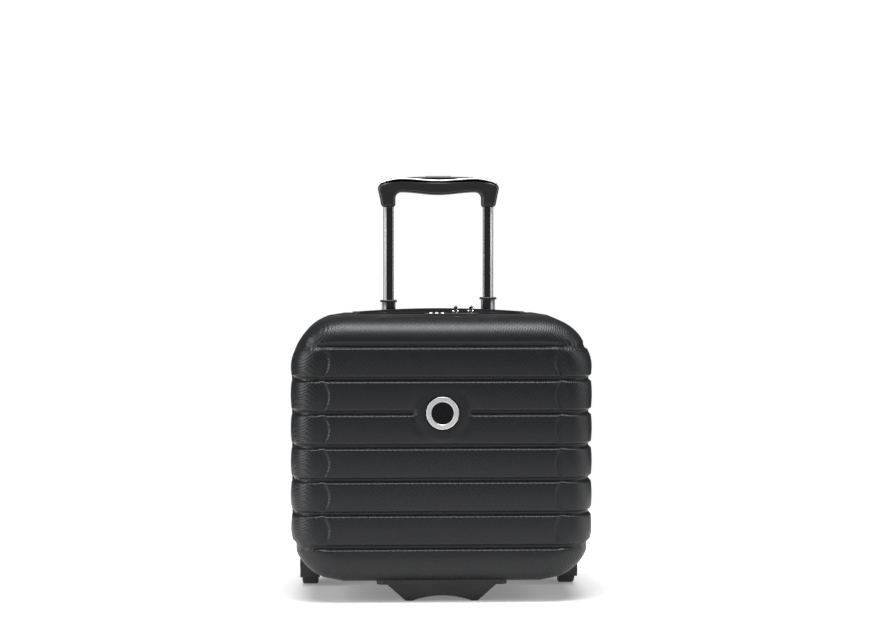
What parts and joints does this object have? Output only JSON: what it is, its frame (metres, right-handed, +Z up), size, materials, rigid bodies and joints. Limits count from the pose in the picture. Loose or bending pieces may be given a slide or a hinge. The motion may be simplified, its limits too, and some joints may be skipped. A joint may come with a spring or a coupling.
{
  "type": "rolling flight case",
  "caption": "Hard-shell rolling cabin case: ribbed half shells joined by a zip, telescopic pull handle, carry handle, combination lock, rear wheels and a front foot.",
  "frame": {"origin": "on the ground under the middle of the case's box", "axes": "+X right seen from the front, front towards -Y, +Z up"},
  "size_m": [0.43, 0.224, 0.61],
  "materials": {
    "shell": "black polycarbonate with a fine diagonal embossing, satin",
    "trim": "black moulded plastic, fine grain",
    "foot": "black moulded plastic, matte",
    "lining": "dark woven polyester",
    "zip_tape": "black woven tape with teeth",
    "chrome": "polished plated",
    "badge_face": "gloss black",
    "tube": "anodised, satin, brushed lengthwise",
    "dark_tube": "dark anodised, satin",
    "grip": "black, satin",
    "cover": "grey, satin",
    "tyre": "soft black polyurethane",
    "hub": "dark grey nylon",
    "steel": "bright steel",
    "dial": "pale grey numbered dial"
  },
  "bodies": {
    "rear_case": {"rear_shell": "shell", "rear_rim_frame": "trim", "zip_tape_rear": "zip_tape", "rear_lining": "lining", "hinge_tape": "lining", "top_console": "trim", "carry_handle_cup": "trim", "trolley_foot_bracket": "trim", "trolley_outer_tube_left": "dark_tube", "trolley_outer_tube_right": "dark_tube", "wheel_housing_left": "trim", "wheel_housing_right": "trim", "wheel_axle_left": "steel", "wheel_axle_right": "steel"},
    "front_case": {"front_shell": "shell", "front_rim_frame": "trim", "zip_tape_front": "zip_tape", "front_lining": "lining", "badge_base": "badge_face", "badge_ring": "chrome", "lock_body": "trim", "lock_spindle": "steel", "front_foot": "foot", "foot_base_plate": "foot", "foot_screws": "steel"},
    "handle": {"grip_body": "grip", "grip_top_cover": "cover", "grip_accent_strip": "chrome", "grip_screws": "steel", "inner_tube_left": "tube", "inner_tube_right": "tube", "latch_block_left": "trim", "latch_block_right": "trim"},
    "release": {"release_button": "cover", "push_rods": "steel"},
    "carry_handle": {"carry_handle_grip": "trim", "carry_handle_retainers": "trim"},
    "dial_1": {"lock_dial_1": "dial"},
    "dial_2": {"lock_dial_2": "dial"},
    "dial_3": {"lock_dial_3": "dial"},
    "lock_slider": {"lock_release_slider": "grip"},
    "key_cylinder": {"lock_key_cylinder": "chrome"},
    "middle_stage_left": {"middle_tube_left": "tube", "middle_collar_left": "trim", "middle_bush_left": "trim"},
    "latch_left": {"latch_pin_left": "steel"},
    "wheel_left": {"wheel_tyre_left": "tyre", "wheel_hub_left": "hub", "wheel_bearings_left": "steel"},
    "zip_slider_left": {"zip_slider_left": "chrome"},
    "zip_pull_left": {"zip_pull_left": "chrome"},
    "middle_stage_right": {"middle_tube_right": "tube", "middle_collar_right": "trim", "middle_bush_right": "trim"},
    "latch_right": {"latch_pin_right": "steel"},
    "wheel_right": {"wheel_tyre_right": "tyre", "wheel_hub_right": "hub", "wheel_bearings_right": "steel"},
    "zip_slider_right": {"zip_slider_right": "chrome"},
    "zip_pull_right": {"zip_pull_right": "chrome"}
  },
  "joints": [
    {"name": "case_opening", "type": "hinge", "parent": "rear_case", "child": "front_case", "pos_m": [-0.2155, 0, 0.217], "axis": [0, 0, -1], "range_deg": [0, 180]},
    {"name": "middle_slide_left", "type": "slide", "parent": "rear_case", "child": "middle_stage_left", "axis": [0, 0, 1], "range_m": [-0.062, 0.21]},
    {"name": "middle_slide_right", "type": "slide", "parent": "rear_case", "child": "middle_stage_right", "axis": [0, 0, 1], "range_m": [-0.062, 0.21]},
    {"name": "handle_slide", "type": "slide", "parent": "middle_stage_left", "child": "handle", "axis": [0, 0, 1], "range_m": [-0.133, 0.105]},
    {"name": "release_press", "type": "slide", "parent": "handle", "child": "release", "axis": [0, 0, 1], "range_m": [-0.003, 0], "stiffness_N_per_m": 400, "springref_m": 0.004},
    {"name": "latch_pin_slide_left", "type": "slide", "parent": "handle", "child": "latch_left", "axis": [1, 0, 0], "range_m": [0, 0.0015]},
    {"name": "latch_pin_slide_right", "type": "slide", "parent": "handle", "child": "latch_right", "axis": [-1, 0, 0], "range_m": [0, 0.0015]},
    {"name": "carry_handle_lift", "type": "slide", "parent": "rear_case", "child": "carry_handle", "axis": [0, 0, 1], "range_m": [0, 0.012]},
    {"name": "lock_release", "type": "slide", "parent": "front_case", "child": "lock_slider", "axis": [1, 0, 0], "range_m": [0, 0.004], "stiffness_N_per_m": 150, "springref_m": -0.004},
    {"name": "key_turn", "type": "hinge", "parent": "front_case", "child": "key_cylinder", "pos_m": [0.034, -0.026, 0.4], "axis": [0, 0, 1], "range_deg": [0, 90]},
    {"name": "lock_dial_1", "type": "hinge", "parent": "front_case", "child": "dial_1", "pos_m": [-0.014, -0.022, 0.403], "axis": [1, 0, 0], "continuous": true},
    {"name": "lock_dial_2", "type": "hinge", "parent": "front_case", "child": "dial_2", "pos_m": [-0.0055, -0.022, 0.403], "axis": [1, 0, 0], "continuous": true},
    {"name": "lock_dial_3", "type": "hinge", "parent": "front_case", "child": "dial_3", "pos_m": [0.003, -0.022, 0.403], "axis": [1, 0, 0], "continuous": true},
    {"name": "zip_run_left", "type": "slide", "parent": "rear_case", "child": "zip_slider_left", "axis": [1, 0, 0], "range_m": [-0.14, 0]},
    {"name": "zip_pull_swing_left", "type": "hinge", "parent": "zip_slider_left", "child": "zip_pull_left", "pos_m": [0.0225, 0, 0.4104], "axis": [-1, 0, 0], "range_deg": [-24, 110]},
    {"name": "zip_run_right", "type": "slide", "parent": "rear_case", "child": "zip_slider_right", "axis": [1, 0, 0], "range_m": [0, 0.085]},
    {"name": "zip_pull_swing_right", "type": "hinge", "parent": "zip_slider_right", "child": "zip_pull_right", "pos_m": [0.0447, 0, 0.4104], "axis": [-1, 0, 0], "range_deg": [-24, 110]},
    {"name": "wheel_spin_left", "type": "hinge", "parent": "rear_case", "child": "wheel_left", "pos_m": [-0.1915, 0.076, 0.03], "axis": [1, 0, 0], "continuous": true},
    {"name": "wheel_spin_right", "type": "hinge", "parent": "rear_case", "child": "wheel_right", "pos_m": [0.1915, 0.076, 0.03], "axis": [1, 0, 0], "continuous": true}
  ],
  "couplings": [
    {"joint": "middle_slide_right", "follows": "middle_slide_left", "ratio": 1},
    {"joint": "latch_pin_slide_left", "follows": "release_press", "ratio": -0.5},
    {"joint": "latch_pin_slide_right", "follows": "release_press", "ratio": -0.5}
  ]
}
